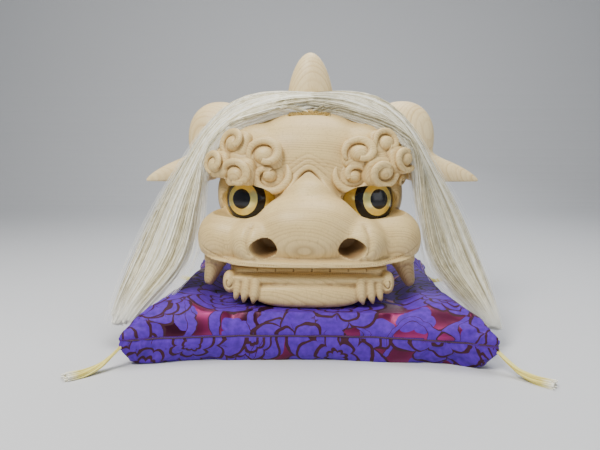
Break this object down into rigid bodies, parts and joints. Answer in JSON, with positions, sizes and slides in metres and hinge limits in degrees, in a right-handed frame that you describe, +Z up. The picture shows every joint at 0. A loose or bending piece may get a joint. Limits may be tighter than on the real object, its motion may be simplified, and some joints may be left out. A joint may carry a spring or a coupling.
{
  "type": "lion dance head on display cushion",
  "caption": "Carved wooden lion dance head with hinged jaw, gilt eyes, horn, drooping ears and a parted horsehair mane, resting on a square tasselled display cushion.",
  "frame": {"origin": "centre of the cushion's flat underside", "axes": "+Z up, the face looks along -Y, +X is the viewer's right"},
  "size_m": [0.5266, 0.512, 0.3786],
  "materials": {
    "carved_wood": "bare wood, finely cut and rubbed smooth",
    "pale_wood": "bare pale wood, rubbed smooth",
    "gilt_eye": "gold leaf with black lacquer pupil and ring",
    "pin_brass": "plain",
    "horsehair": "long straight pale hair",
    "bound_roots": "cut and bound hair roots",
    "damask": null,
    "tassel_thread": "twisted silk thread"
  },
  "bodies": {
    "base": {"cushion": "damask", "tassel_front_left": "tassel_thread", "tassel_front_right": "tassel_thread", "tassel_rear_left": "tassel_thread", "tassel_rear_right": "tassel_thread", "jaw": "carved_wood"},
    "head": {"head_shell": "carved_wood", "jaw_pin_left": "pin_brass", "jaw_pin_right": "pin_brass", "eye_left": "gilt_eye", "eye_right": "gilt_eye", "horn": "pale_wood", "ear_left": "pale_wood", "ear_right": "pale_wood", "hair_binding": "bound_roots", "mane_left": "horsehair", "mane_right": "horsehair"}
  },
  "joints": [
    {"name": "jaw_hinge", "type": "hinge", "parent": "base", "child": "head", "pos_m": [0, 0.112, 0.114], "axis": [-1, 0, 0], "range_deg": [0, 25]}
  ]
}
